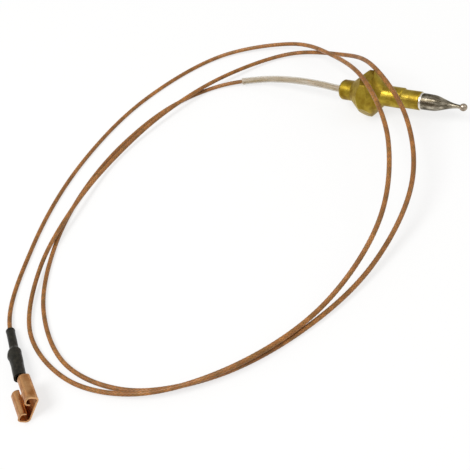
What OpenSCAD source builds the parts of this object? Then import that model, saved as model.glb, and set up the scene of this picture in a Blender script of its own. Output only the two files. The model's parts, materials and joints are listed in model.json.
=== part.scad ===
// Flame-failure thermocouple of a gas hob: a brass head with a steel probe, one insulated lead and
// one push-on terminal. Millimetres. The head lies along X on one flat of its hexagon, the probe's
// tip points along +X, and the surface that everything lies on is z = 0.

/* [Head] */
// Length of the whole head, from the back of its neck to the tip of the bead
head_len = 33; // [30:0.5:48]
// Diameter of the neck that the lead leaves
neck_d = 5; // [4.4:0.1:6]
// Length of the neck
neck_len = 3.6; // [2:0.1:6]
// Bevel round the neck's back edge
neck_bevel = 0.8; // [0.2:0.1:1]
// Hexagon across its flats
hex_af = 10; // [8:0.5:13]
// Hexagon's length between the feet of its two cones
hex_len = 8.5; // [7.5:0.5:12]
// Run of the hexagon's rear cone for each millimetre that it rises
rear_cone_run = 1.25; // [1:0.05:1.4]
// Diameter of the barrel that passes through the burner's bracket
barrel_d = 5; // [4.4:0.1:6]
// Length of that barrel
barrel_len = 5.1; // [4:0.1:9]
// Diameter of the thinner barrel in front of it
collar_d = 4.4; // [3.9:0.1:5]
// Length of the thinner barrel
collar_len = 4.6; // [3:0.1:7]
// Bevel on the front edge of each barrel
barrel_bevel = 0.25; // [0.1:0.05:0.4]

/* [Probe] */
// Diameter of the probe where it leaves the brass
probe_d = 3.9; // [3.5:0.1:4.3]
// Diameter of the probe's nose
nose_d = 0.9; // [0.8:0.05:1.1]
// Share of the probe that stays nearly straight before it tapers
probe_straight = 0.3; // [0.2:0.05:0.5]
// Diameter of the bead at the tip
bead_d = 1.8; // [1.5:0.1:2.2]
// How far the nose sinks into the bead
bead_sink = 0.25; // [0.1:0.05:0.4]
// Width of the line of braze round the probe's foot
braze_w = 0.35; // [0.2:0.05:0.6]
// How far the braze stands out from the probe
braze_proud = 0.05; // [0.03:0.01:0.1]
// Diameter of the probe's spigot inside the brass
spigot_d = 2.96; // [2.4:0.02:3.2]
// Length of that spigot
spigot_len = 3.8; // [2:0.1:5]
// Wall of the spigot
spigot_wall = 0.25; // [0.15:0.05:0.4]

/* [Inside the head] */
// Gap round a piece that sits in a bore
seat_gap = 0.02; // [0.01:0.01:0.05]
// Diameter of the alloy wire that makes the hot junction
alloy_d = 0.6; // [0.4:0.05:0.7]
// Gap between a wire and the hole that it passes through
wire_gap = 0.03; // [0.02:0.01:0.06]
// Length of the insulating tube in the probe
liner_len = 6; // [3:0.5:8]
// Thickness of the cement that closes the probe's back
cement_t = 0.8; // [0.4:0.1:1.5]
// Outer diameter of the crimp that joins the two wires
crimp_d = 1.6; // [1.3:0.1:2]
// Length of that crimp
crimp_len = 5; // [3:0.5:7]
// Gap between the two wires' ends in the crimp
wire_end_gap = 0.4; // [0.2:0.1:1]
// Bare wire between the braid and the crimp
bare_len = 1.5; // [1:0.5:3]
// Gap between the crimp and the insulating tube round it
jacket_gap = 0.13; // [0.05:0.01:0.2]
// How far that tube runs past the front of the crimp
jacket_past = 1.5; // [0.5:0.1:2]
// Gap behind that tube, up to the step in the brass
jacket_back_gap = 0.6; // [0.2:0.1:0.9]
// Room ahead of the braid's end, up to the same step
braid_room = 0.4; // [0.2:0.1:0.8]

/* [Lead] */
// Outer diameter of the braided lead
lead_d = 1.1; // [0.9:0.05:1.2]
// Diameter of the copper core
core_d = 0.56; // [0.4:0.02:0.6]
// Length of braid inside the head, forward of the neck's back face
lead_in = 8; // [6:0.5:9]
// Outer diameter of the pale sleeve at the neck
sleeve_d = 1.8; // [1.7:0.05:2]
// Gap between the lead and the pale sleeve
sleeve_gap = 0.08; // [0.07:0.01:0.15]
// Gap between the pale sleeve and the bore of the neck
neck_gap = 0.05; // [0.02:0.01:0.1]
// Length of the pale sleeve inside the neck
sleeve_in = 4; // [2:0.5:6]
// Number of route points that the pale sleeve covers
sleeve_points = 3.5; // [2:0.5:4]

/* [Terminal] */
// Thickness of the strip that the terminal is stamped from
strip_t = 0.4; // [0.3:0.05:0.5]
// Width of the tab that the terminal takes
tab_w = 6.3; // [6.3]
// Thickness of that tab
tab_t = 0.8; // [0.8]
// Play between the tab and the terminal, on each side
tab_play = 0.08; // [0.05:0.01:0.12]
// Length of the socket
socket_len = 8.4; // [7.5:0.1:9.5]
// Height of the rolled wings over the floor's underside
wing_h = 2.7; // [2.5:0.1:3.2]
// Width of each wing's flat top
wing_flat = 0.6; // [0.3:0.1:0.9]
// Outer radius of the wing's rolls
wing_roll = 0.95; // [0.8:0.05:1]
// Angle that the socket lies turned about its length
socket_lean = 43; // [0:1:45]
// Length of the crimp round the braid
braid_crimp_len = 2.4; // [1.5:0.1:3]
// Length of the crimp round the bare core
core_crimp_len = 3; // [2:0.1:4]
// How far the braid runs past its crimp
braid_past = 0.4; // [0.2:0.1:0.8]
// Bare core between the braid and the second crimp
core_bare = 0.9; // [0.5:0.1:1.5]
// How far the core runs past that crimp
core_past = 0.5; // [0.2:0.1:1]
// Length of the strip between the second crimp and the socket
neck_strip_len = 3.7; // [3:0.1:5]
// Width of the strip between the crimps and the socket
neck_strip_w = 1.4; // [1:0.1:1.6]

/* [Black sleeve] */
// Wall where it grips the lead, where it has shrunk the most
shrink_thick_wall = 0.425; // [0.3:0.025:0.5]
// Length of that thin stretch
shrink_thin_len = 7.2; // [5:0.1:9]
// Room between the black sleeve and the braid's crimp
shrink_room = 0.28; // [0.2:0.02:0.4]
// Length over the crimps
shrink_wide_len = 9.6; // [8:0.1:11]
// Wall of the black sleeve over the crimps
shrink_wall = 0.24; // [0.15:0.01:0.3]
// Gap between the lead and the black sleeve
shrink_gap = 0.05; // [0.03:0.01:0.1]
// Length of the slope between the two diameters
shrink_slope = 1; // [0.6:0.1:2]
// Extra radius where the braid crimp's ears push it out
shrink_bulge = 0.25; // [0:0.05:0.35]

/* [Hidden] */

$fn = 64;
eps = 0.01;

// Stations along the head, measured from the back of the neck
axis_z = hex_af / 2;
back_x = -head_len / 2;
hex_foot = neck_len;
hex_end = hex_foot + hex_len;
barrel_end = hex_end + barrel_len;
brass_end = barrel_end + collar_len;
bead_r = bead_d / 2;
bead_at = head_len - bead_r;
nose_end = bead_at - bead_r + bead_sink;
probe_len = nose_end - brass_end;

// The brass is bored from both ends, and the two bores meet behind the joint
rear_bore_r = sleeve_d / 2 + neck_gap;
front_bore_r = spigot_d / 2 + seat_gap;
bore_step = lead_in + braid_room;
alloy_bore_r = alloy_d / 2 + wire_gap;
spigot_back = brass_end - spigot_len;
liner_r = spigot_d / 2 - spigot_wall - seat_gap;
crimp_back = lead_in + bare_len;
crimp_front = crimp_back + crimp_len;
crimp_mid = (crimp_back + crimp_front) / 2;
jacket_r = front_bore_r - seat_gap;
jacket_back = bore_step + jacket_back_gap;
jacket_front = crimp_front + jacket_past;
jacket_bore_r = crimp_d / 2 + jacket_gap;

// The terminal's own places, along the line of its crimps from the black sleeve's rim
braid_end = 10.8;
braid_crimp_at = braid_end - braid_past - braid_crimp_len;
core_crimp_at = braid_end + core_bare;
core_end = core_crimp_at + core_crimp_len + core_past;
socket_at = core_crimp_at + core_crimp_len + neck_strip_len;
crimp_floor_z = -(lead_d / 2 + strip_t);
braid_crimp_r = lead_d / 2 + wire_gap + strip_t;
socket_w = tab_w + 2 * (tab_play + strip_t);
slot_h = tab_t + tab_play;

// Where the lead's last point is, and the way the terminal's crimps point from there
tail_at = [-60, -90.6, 1.1];
tail_heading = -33;
tail_pitch = 5.6;
socket_heading = -29.5;
tail_dir = [cos(tail_pitch) * cos(tail_heading), cos(tail_pitch) * sin(tail_heading),
            sin(tail_pitch)];
exit_at = [back_x, 0, axis_z];
exit_dir = [-1, 0, 0];

// The lead's route: out of the neck, twice round, over the head each time, and on to the terminal
route = [
    exit_at, [-22.5, 0.5, 5], [-33.2, 1.5, 4], [-45.2, 1.9, 1.8], [-56.8, -1.9, 0.8],
    [-66.7, -11.7, 0.6], [-72.5, -28, 0.6], [-73, -46.1, 0.6], [-67.1, -66.5, 0.6],
    [-55.8, -82.7, 0.6], [-39.5, -92, 0.6], [-20.7, -91.2, 0.6], [-4.4, -81.1, 0.6],
    [7.9, -64.4, 0.8], [14.6, -45.6, 2], [15.1, -26, 6.4], [6.4, -9.5, 9.2], [-5.6, 1.3, 11.4],
    [-25.2, 13.4, 4], [-42.5, 14.1, 1.1], [-56.9, 0.4, 2], [-66.2, -16.7, 2],
    [-71.1, -35.2, 1.2], [-69.8, -54.4, 2.2], [-65.6, -73, 1.5], [-54.5, -89, 0.7],
    [-36.5, -94.9, 0.6], [-18.2, -91.7, 1.6], [-1.9, -79.4, 2.2], [10, -57.7, 2.4],
    [13.3, -37, 7.3], [7.1, -19.2, 10.8], [-6.1, -3.7, 12], [-23.3, 8.8, 7.6],
    [-43.1, 17, 2.3], [-64.1, 10.1, 0.8], [-78.2, -12.2, 0.6], [-81.1, -38.1, 0.6],
    [-74.1, -68, 0.6], tail_at
];
rings_per_point = 2;
lead_sides = 8;

// ---- the lead's curve, and tubes swept along it ----

function unit(v) = v / norm(v);
function slope_in(i) = (route[i] - route[i - 1]) / norm(route[i] - route[i - 1]);
function slope_out(i) = slope_in(i + 1);

// The direction at a point leans towards the nearer neighbour, and the two ends are given
function way_at(i) =
    i == 0 ? exit_dir :
    i == len(route) - 1 ? tail_dir :
    let (back = norm(route[i] - route[i - 1]), on = norm(route[i + 1] - route[i]))
    (slope_in(i) * on + slope_out(i) * back) / (back + on);

// A point of the cubic between route points i and i + 1, and its direction, at share u
function curve_point(i, u) =
    let (h = norm(route[i + 1] - route[i]), a = way_at(i) * h, b = way_at(i + 1) * h)
    (2 * pow(u, 3) - 3 * pow(u, 2) + 1) * route[i] + (pow(u, 3) - 2 * pow(u, 2) + u) * a
    + (3 * pow(u, 2) - 2 * pow(u, 3)) * route[i + 1] + (pow(u, 3) - pow(u, 2)) * b;
function curve_way(i, u) =
    let (h = norm(route[i + 1] - route[i]), a = way_at(i) * h, b = way_at(i + 1) * h)
    unit((6 * pow(u, 2) - 6 * u) * (route[i] - route[i + 1]) + (3 * pow(u, 2) - 4 * u + 1) * a
         + (3 * pow(u, 2) - 2 * u) * b);

// Every ring's centre and direction, from the first route point to the given one
function curve_rings(last) = [
    for (k = [0 : round(last * rings_per_point)])
        let (i = min(floor(k / rings_per_point), len(route) - 2), u = k / rings_per_point - i)
        [curve_point(i, u), curve_way(i, u)]
];

// The whole lead: a straight start inside the head, the route, and a straight end in the crimps
function lead_rings(start_in, end_on) = concat(
    [[exit_at - exit_dir * start_in, exit_dir]],
    curve_rings(len(route) - 1),
    [[tail_at + tail_dir * end_on, tail_dir]]
);

// One ring of corners round a centre
function ring_corners(ring, r, sides) =
    let (across = unit(cross(ring[1], [0, 0, 1])), up = cross(across, ring[1]))
    [for (j = [0 : sides - 1]) let (a = 360 * (j + 0.5) / sides)
        ring[0] + r * (cos(a) * across + sin(a) * up)];

module swept_rod(rings, d, sides) {
    n = len(rings);
    polyhedron(
        points = [for (ring = rings) each ring_corners(ring, d / 2, sides)],
        faces = concat(
            [[for (j = [sides - 1 : -1 : 0]) j]],
            [for (i = [0 : n - 2], j = [0 : sides - 1]) let (k = (j + 1) % sides)
                [i * sides + j, i * sides + k, (i + 1) * sides + k, (i + 1) * sides + j]],
            [[for (j = [0 : sides - 1]) (n - 1) * sides + j]]
        )
    );
}

// A hollow tube in one piece: outer rings first, then the bore's rings
module swept_tube(rings, d, bore, sides) {
    n = len(rings);
    b = n * sides;
    polyhedron(
        points = concat(
            [for (ring = rings) each ring_corners(ring, d / 2, sides)],
            [for (ring = rings) each ring_corners(ring, bore / 2, sides)]
        ),
        faces = concat(
            [for (i = [0 : n - 2], j = [0 : sides - 1]) let (k = (j + 1) % sides)
                [i * sides + j, i * sides + k, (i + 1) * sides + k, (i + 1) * sides + j]],
            [for (i = [0 : n - 2], j = [0 : sides - 1]) let (k = (j + 1) % sides)
                [b + (i + 1) * sides + j, b + (i + 1) * sides + k, b + i * sides + k, b + i * sides + j]],
            [for (j = [0 : sides - 1]) let (k = (j + 1) % sides) [k, j, b + j, b + k]],
            [for (j = [0 : sides - 1]) let (k = (j + 1) % sides, e = (n - 1) * sides)
                [e + j, e + k, b + e + k, b + e + j]]
        )
    );
}

// ---- helpers for turned pieces ----

// Turns a profile of [station, radius] points about the head's axis
module turned(profile) {
    translate([back_x, 0, axis_z]) rotate([0, 90, 0]) rotate_extrude()
        polygon([for (p = profile) [p[1], p[0]]]);
}

// A plain tube between two stations of the head
module head_tube(from, to, r, bore_r) {
    turned([[from, bore_r], [to, bore_r], [to, r], [from, r]]);
}

// The probe's outer radius at a share of its length: nearly straight, then an easing taper
function taper(s) = (1 + cos(180 * pow(s, 0.85))) / 2;
function probe_r(s) =
    let (waist = probe_d / 2 * 0.95)
    s < probe_straight
        ? probe_d / 2 - (probe_d / 2 - waist) * pow(s / probe_straight, 2)
        : nose_d / 2 + (waist - nose_d / 2) * taper((s - probe_straight) / (1 - probe_straight));

// ---- the head ----

module head_body() {
    cone_r = barrel_d / 2;
    neck_r = neck_d / 2;
    crest_limit = (hex_len + rear_cone_run * neck_r + cone_r) / (1 + rear_cone_run);
    crest_r = min(hex_af / sqrt(3) + eps, crest_limit - eps);
    color("goldenrod") difference() {
        union() {
            turned([[0, 0], [0, neck_r - neck_bevel], [neck_bevel, neck_r], [hex_foot, neck_r],
                    [hex_foot + 1, neck_r], [hex_foot + 1, 0]]);
            intersection() {
                translate([back_x + hex_foot, 0, axis_z]) rotate([0, 90, 0]) rotate([0, 0, 30])
                    cylinder(d = hex_af * 2 / sqrt(3), h = hex_len, $fn = 6);
                turned([[hex_foot, 0], [hex_foot, neck_r],
                        [hex_foot + rear_cone_run * (crest_r - neck_r), crest_r],
                        [hex_end - crest_r + cone_r, crest_r], [hex_end, cone_r],
                        [hex_end, 0]]);
            }
            turned([[hex_end - 1, 0], [hex_end - 1, cone_r], [barrel_end - barrel_bevel, cone_r],
                    [barrel_end, cone_r - barrel_bevel], [barrel_end, 0]]);
            turned([[barrel_end - 1, 0], [barrel_end - 1, collar_d / 2],
                    [brass_end - barrel_bevel, collar_d / 2],
                    [brass_end, collar_d / 2 - barrel_bevel], [brass_end, 0]]);
        }
        turned([[-1, 0], [-1, rear_bore_r], [bore_step + eps, rear_bore_r], [bore_step + eps, 0]]);
        turned([[bore_step, 0], [bore_step, front_bore_r], [brass_end + 1, front_bore_r],
                [brass_end + 1, 0]]);
    }
}

module probe_sheath() {
    steps = 14;
    bore_r = spigot_d / 2 - spigot_wall;
    liner_end = spigot_back + liner_len + cement_t;
    outer = [for (i = [0 : steps]) [brass_end + probe_len * i / steps, probe_r(i / steps)]];
    color("dimgray") turned(concat(
        [[spigot_back, bore_r], [spigot_back, spigot_d / 2], [brass_end, spigot_d / 2]],
        outer,
        [[nose_end, alloy_bore_r], [nose_end - probe_len * 0.35, alloy_bore_r],
         [liner_end, bore_r]]
    ));
}

module braze_ring() {
    inner_r = probe_d / 2 + eps;
    rim_r = probe_d / 2 + braze_proud;
    color("whitesmoke") turned([[brass_end, inner_r], [brass_end, rim_r],
        [brass_end + braze_w * 0.4, rim_r], [brass_end + braze_w, inner_r]]);
}

module hot_junction() {
    color("mistyrose") difference() {
        translate([back_x + bead_at, 0, axis_z]) sphere(r = bead_r);
        translate([back_x + nose_end - bead_d, -bead_d, axis_z - bead_d])
            cube([bead_d, 2 * bead_d, 2 * bead_d]);
    }
}

module alloy_wire() {
    color("silver") translate([back_x + crimp_mid + wire_end_gap / 2, 0, axis_z])
        rotate([0, 90, 0])
            cylinder(d = alloy_d, h = nose_end - crimp_mid - wire_end_gap / 2);
}

module probe_liner() {
    from = spigot_back + cement_t;
    color("ivory") head_tube(from, from + liner_len, liner_r, alloy_bore_r);
}

module probe_cement() {
    color("gainsboro") head_tube(spigot_back, spigot_back + cement_t, liner_r, alloy_bore_r);
}

module joint_crimp() {
    color("peru") head_tube(crimp_back, crimp_front, crimp_d / 2, alloy_bore_r);
}

module joint_jacket() {
    color("white") head_tube(jacket_back, jacket_front, jacket_r, jacket_bore_r);
}

// ---- the lead and its sleeve ----

module lead_braid() {
    color("sienna") swept_tube(lead_rings(lead_in, braid_end), lead_d, core_d + 4 * wire_gap,
        lead_sides);
}

module lead_core() {
    core_in = crimp_mid - wire_end_gap / 2;
    color("chocolate") swept_rod(lead_rings(core_in, core_end), core_d, lead_sides);
}

module exit_sleeve() {
    rings = concat([[exit_at - exit_dir * sleeve_in, exit_dir]], curve_rings(sleeve_points));
    color("linen") swept_tube(rings, sleeve_d, lead_d + 2 * sleeve_gap, lead_sides);
}

// ---- the terminal's end ----

module tail_frame() {
    translate(tail_at) rotate([0, -tail_pitch, tail_heading]) children();
}

// The socket rolls about the wire's line, so its floor leans and stays on the strip's neck
module socket_frame() {
    translate(tail_at + socket_at * tail_dir) rotate([0, 0, socket_heading])
        rotate([socket_lean, 0, 0]) translate([0, 0, crimp_floor_z]) children();
}

// Runs a flat profile, drawn as [across, up], along X
module along_x(length) {
    rotate([90, 0, 90]) linear_extrude(length) children();
}

module shrink_sleeve() {
    thin_bore = lead_d / 2 + shrink_gap;
    thin_r = thin_bore + shrink_thick_wall;
    wide_bore = braid_crimp_r + shrink_room;
    wide_r = wide_bore + shrink_wall;
    bulge_r = wide_r + shrink_bulge;
    slope_end = shrink_thin_len + 0.6 * shrink_slope;
    to = shrink_thin_len + shrink_wide_len;
    bulge_from = braid_crimp_at + 0.3 * braid_crimp_len;
    bulge_to = braid_crimp_at + 0.8 * braid_crimp_len;
    color([0.13, 0.13, 0.12]) tail_frame() rotate([0, 90, 0]) rotate_extrude() polygon([
        [thin_bore, 0], [thin_r, 0], [thin_r, slope_end - shrink_slope], [wide_r, slope_end],
        [bulge_r, bulge_from], [bulge_r, bulge_to], [wide_r, bulge_to + shrink_slope],
        [wide_r, to], [wide_bore, to], [wide_bore, slope_end], [thin_bore, shrink_thin_len]
    ]);
}

// A crimp closed round a wire: a ring with its seam on top
module closed_crimp(from, length, bore_r) {
    seam = 0.16;
    r = bore_r + strip_t;
    translate([from, 0, 0]) difference() {
        along_x(length) circle(r = r);
        translate([-1, 0, 0]) along_x(length + 2) circle(r = bore_r);
        translate([-1, -seam / 2, 0]) cube([length + 2, seam, r + 1]);
    }
}

// A quarter of a bent strip, centred where the bend is and turned to the given start angle
module strip_bend(centre, r, start) {
    translate(centre) rotate(start) intersection() {
        difference() {
            circle(r = r);
            circle(r = r - strip_t);
        }
        square(r + 1);
    }
}

// One wing in profile: up from the floor, over, and down on to the tab
module wing_profile() {
    out = socket_w / 2;
    roll_y = out - wing_roll;
    curl_y = roll_y - wing_flat;
    lip_z = strip_t + slot_h;
    strip_bend([roll_y, wing_roll], wing_roll, -90);
    translate([out - strip_t, wing_roll - eps]) square([strip_t, wing_h - 2 * wing_roll + 2 * eps]);
    strip_bend([roll_y, wing_h - wing_roll], wing_roll, 0);
    translate([curl_y - eps, wing_h - strip_t]) square([wing_flat + 2 * eps, strip_t]);
    strip_bend([curl_y, wing_h - wing_roll], wing_roll, 90);
    translate([curl_y - wing_roll, lip_z]) square([strip_t, wing_h - wing_roll - lip_z + eps]);
}

module socket_floor() {
    half = socket_w / 2 - wing_roll;
    shoulder = 1.6;
    linear_extrude(strip_t) polygon([
        [0, -neck_strip_w / 2], [shoulder, -half], [socket_len, -half], [socket_len, half],
        [shoulder, half], [0, neck_strip_w / 2]
    ]);
}

module spade_terminal() {
    wing_from = 0.9;
    plate_len = socket_at - braid_crimp_at;
    color("burlywood") union() {
        tail_frame() {
            closed_crimp(braid_crimp_at, braid_crimp_len, braid_crimp_r - strip_t);
            closed_crimp(core_crimp_at, core_crimp_len, core_d / 2 + wire_gap);
            translate([braid_crimp_at, -neck_strip_w / 2, crimp_floor_z - wire_gap])
                cube([plate_len - 0.8, neck_strip_w, strip_t]);
        }
        hull() {
            tail_frame() translate([socket_at - 1, -neck_strip_w / 2, crimp_floor_z - wire_gap])
                cube([0.2, neck_strip_w, strip_t]);
            socket_frame() translate([0, -neck_strip_w / 2, 0]) cube([0.3, neck_strip_w, strip_t]);
        }
        socket_frame() {
            socket_floor();
            for (side = [0, 1]) mirror([0, side, 0]) translate([wing_from, 0, 0])
                along_x(socket_len - wing_from) wing_profile();
        }
    }
}

head_body();
probe_sheath();
braze_ring();
hot_junction();
alloy_wire();
probe_liner();
probe_cement();
joint_crimp();
joint_jacket();
exit_sleeve();
lead_braid();
lead_core();
shrink_sleeve();
spade_terminal();
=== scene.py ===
"""The looks of a gas hob's flame-failure thermocouple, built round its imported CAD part.

Everything is in metres, in the part's own frame: the brass head lies along X on one flat of its
hexagon, the probe's tip points along +X, and the surface that it all lies on is z = 0.
"""

import json
import logging
import math
import random
from dataclasses import dataclass, field
from enum import Enum
from typing import Callable, Sequence

import bmesh
import bpy
from mathutils import Matrix, Vector

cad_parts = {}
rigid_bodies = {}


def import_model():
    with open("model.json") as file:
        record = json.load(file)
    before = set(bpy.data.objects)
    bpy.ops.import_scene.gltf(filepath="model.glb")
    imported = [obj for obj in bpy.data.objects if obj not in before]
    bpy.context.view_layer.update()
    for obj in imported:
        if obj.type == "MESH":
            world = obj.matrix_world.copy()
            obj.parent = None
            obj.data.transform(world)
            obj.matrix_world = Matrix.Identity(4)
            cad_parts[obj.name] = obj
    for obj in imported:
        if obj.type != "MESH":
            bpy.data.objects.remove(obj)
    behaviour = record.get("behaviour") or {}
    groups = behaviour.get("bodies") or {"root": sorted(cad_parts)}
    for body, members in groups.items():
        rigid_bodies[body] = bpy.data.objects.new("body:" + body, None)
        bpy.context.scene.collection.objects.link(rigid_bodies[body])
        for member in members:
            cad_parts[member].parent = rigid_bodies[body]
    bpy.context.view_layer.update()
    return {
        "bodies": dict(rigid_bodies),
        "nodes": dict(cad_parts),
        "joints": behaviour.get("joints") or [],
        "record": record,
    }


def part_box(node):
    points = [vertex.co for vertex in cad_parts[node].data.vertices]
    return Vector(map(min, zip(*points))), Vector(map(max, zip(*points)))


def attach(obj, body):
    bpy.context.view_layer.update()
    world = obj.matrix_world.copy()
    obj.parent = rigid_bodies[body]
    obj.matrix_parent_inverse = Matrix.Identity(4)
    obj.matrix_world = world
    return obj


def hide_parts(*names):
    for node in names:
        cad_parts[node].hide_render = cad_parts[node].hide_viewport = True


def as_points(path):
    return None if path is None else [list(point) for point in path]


LOG = logging.getLogger("thermocouple")
BODY = "root"
FULL_TURN = 2 * math.pi
FULLY_WORN_TURN = math.radians(50)
Colour = tuple[float, float, float]
Spot = tuple[float, float, float]
Place = Callable[[float, float], Vector]


class Slot(Enum):
    """The record's material slots, one for each finish."""

    BRASS = "brass"
    PROBE_STEEL = "probe_steel"
    BRAZE = "braze"
    BEAD = "bead"
    ALLOY = "alloy"
    CERAMIC = "ceramic"
    CEMENT = "cement"
    CRIMP_COPPER = "crimp_copper"
    JACKET = "jacket"
    SLEEVE = "sleeve"
    BRAID = "braid"
    CORE_COPPER = "core_copper"
    SHRINK = "shrink"
    STRIP = "terminal_strip"


class Grain(Enum):
    """How the fine lines of a metal surface run."""

    TURNED = "round the head's axis"
    DRAWN = "along the head's axis"
    CAST = "no direction"


# ---- materials ----


class Shader:
    """A material's node tree under construction, which ends in one Principled shader."""

    def __init__(self, name: str) -> None:
        """Starts a material with only its shader and output.

        Args:
            name: The material's name.
        """
        self.material = bpy.data.materials.new(name)
        self.material.use_nodes = True
        self.tree = self.material.node_tree
        self.tree.nodes.clear()
        self.surface = self.node("ShaderNodeBsdfPrincipled")
        output = self.node("ShaderNodeOutputMaterial")
        self.link(self.surface.outputs["BSDF"], output.inputs["Surface"])
        self.coordinates = self.node("ShaderNodeTexCoord")

    def node(self, kind: str, **settings: object) -> bpy.types.Node:
        """Adds a node.

        Args:
            kind: The node's type.
            **settings: Properties to set on it.

        Returns:
            The new node.
        """
        made = self.tree.nodes.new(kind)
        for name, value in settings.items():
            setattr(made, name, value)
        return made

    def link(self, source: bpy.types.NodeSocket, target: bpy.types.NodeSocket) -> None:
        """Joins an output to an input."""
        self.tree.links.new(source, target)

    def feed(self, target: bpy.types.NodeSocket, value: object) -> None:
        """Gives an input a value, or links it if the value is another node's output.

        Args:
            target: The input.
            value: A number, a colour, or an output socket.
        """
        if isinstance(value, bpy.types.NodeSocket):
            self.link(value, target)
        else:
            target.default_value = value

    def principled(self, **inputs: object) -> None:
        """Sets the shader's inputs, each named with _ for a space."""
        for name, value in inputs.items():
            self.feed(self.surface.inputs[name.replace("_", " ")], value)

    def placed(self, scale: Sequence[float], surface_map: bool = False) -> bpy.types.NodeSocket:
        """Coordinates for a texture, stretched on each axis.

        Args:
            scale: Repeats per metre on X, Y and Z, or per unit of the surface map.
            surface_map: Whether to read the piece's own map in place of its metres.

        Returns:
            The coordinates' output.
        """
        mapping = self.node("ShaderNodeMapping")
        self.link(self.coordinates.outputs["UV" if surface_map else "Object"],
                  mapping.inputs["Vector"])
        mapping.inputs["Scale"].default_value = scale
        return mapping.outputs["Vector"]

    def noise(self, scale: Sequence[float], detail: float = 3.0, roughness: float = 0.55,
              surface_map: bool = False) -> bpy.types.NodeSocket:
        """A noise pattern from 0 to 1.

        Args:
            scale: Repeats per metre on each axis, or per unit of the surface map.
            detail: Octaves of finer noise.
            roughness: Weight of the finer octaves.
            surface_map: Whether to read the piece's own map.

        Returns:
            The pattern's output.
        """
        texture = self.node("ShaderNodeTexNoise")
        self.link(self.placed(scale, surface_map), texture.inputs["Vector"])
        texture.inputs["Scale"].default_value = 1.0
        texture.inputs["Detail"].default_value = detail
        texture.inputs["Roughness"].default_value = roughness
        return texture.outputs["Fac"]

    def attribute(self, name: str) -> bpy.types.NodeSocket:
        """A number that the mesh carries on its points or faces."""
        return self.node("ShaderNodeAttribute", attribute_name=name).outputs["Fac"]

    def math(self, operation: str, first: object, second: object = 0.0) -> bpy.types.NodeSocket:
        """One sum.

        Args:
            operation: The Math node's operation.
            first: Its first value or output.
            second: Its second value or output.

        Returns:
            The result's output.
        """
        made = self.node("ShaderNodeMath", operation=operation)
        self.feed(made.inputs[0], first)
        self.feed(made.inputs[1], second)
        return made.outputs[0]

    def spread(self, value: bpy.types.NodeSocket, low: float, high: float, to_low: float = 0.0,
               to_high: float = 1.0) -> bpy.types.NodeSocket:
        """Stretches a range of a pattern on to another, and holds it at the ends.

        Args:
            value: The pattern.
            low: The value that becomes to_low.
            high: The value that becomes to_high.
            to_low: The new lowest value.
            to_high: The new highest value.

        Returns:
            The new pattern's output.
        """
        made = self.node("ShaderNodeMapRange", clamp=True)
        for name, number in (("From Min", low), ("From Max", high), ("To Min", to_low),
                             ("To Max", to_high)):
            made.inputs[name].default_value = number
        self.feed(made.inputs["Value"], value)
        return made.outputs["Result"]

    def mix(self, amount: object, first: object, second: object) -> bpy.types.NodeSocket:
        """Mixes two colours.

        Args:
            amount: How much of the second, as a number or output.
            first: The first colour or output.
            second: The second colour or output.

        Returns:
            The mixed colour's output.
        """
        made = self.node("ShaderNodeMix", data_type="RGBA")
        self.feed(made.inputs["Factor"], amount)
        for slot, value in (("A", first), ("B", second)):
            target = next(i for i in made.inputs if i.name == slot and i.type == "RGBA")
            self.feed(target, (*value, 1.0) if isinstance(value, tuple) else value)
        return next(o for o in made.outputs if o.type == "RGBA")

    def bump(self, height: bpy.types.NodeSocket, depth: float, strength: float = 1.0,
             below: bpy.types.NodeSocket | None = None) -> bpy.types.NodeSocket:
        """Tilts the surface by a pattern.

        Args:
            height: The pattern, from 0 to 1.
            depth: How deep the pattern is, in metres.
            strength: How much of it shows.
            below: Another bump to start from.

        Returns:
            The normal's output, for the shader or the next bump.
        """
        made = self.node("ShaderNodeBump")
        made.inputs["Distance"].default_value = depth
        made.inputs["Strength"].default_value = strength
        self.link(height, made.inputs["Height"])
        if below is not None:
            self.link(below, made.inputs["Normal"])
        return made.outputs["Normal"]


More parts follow.
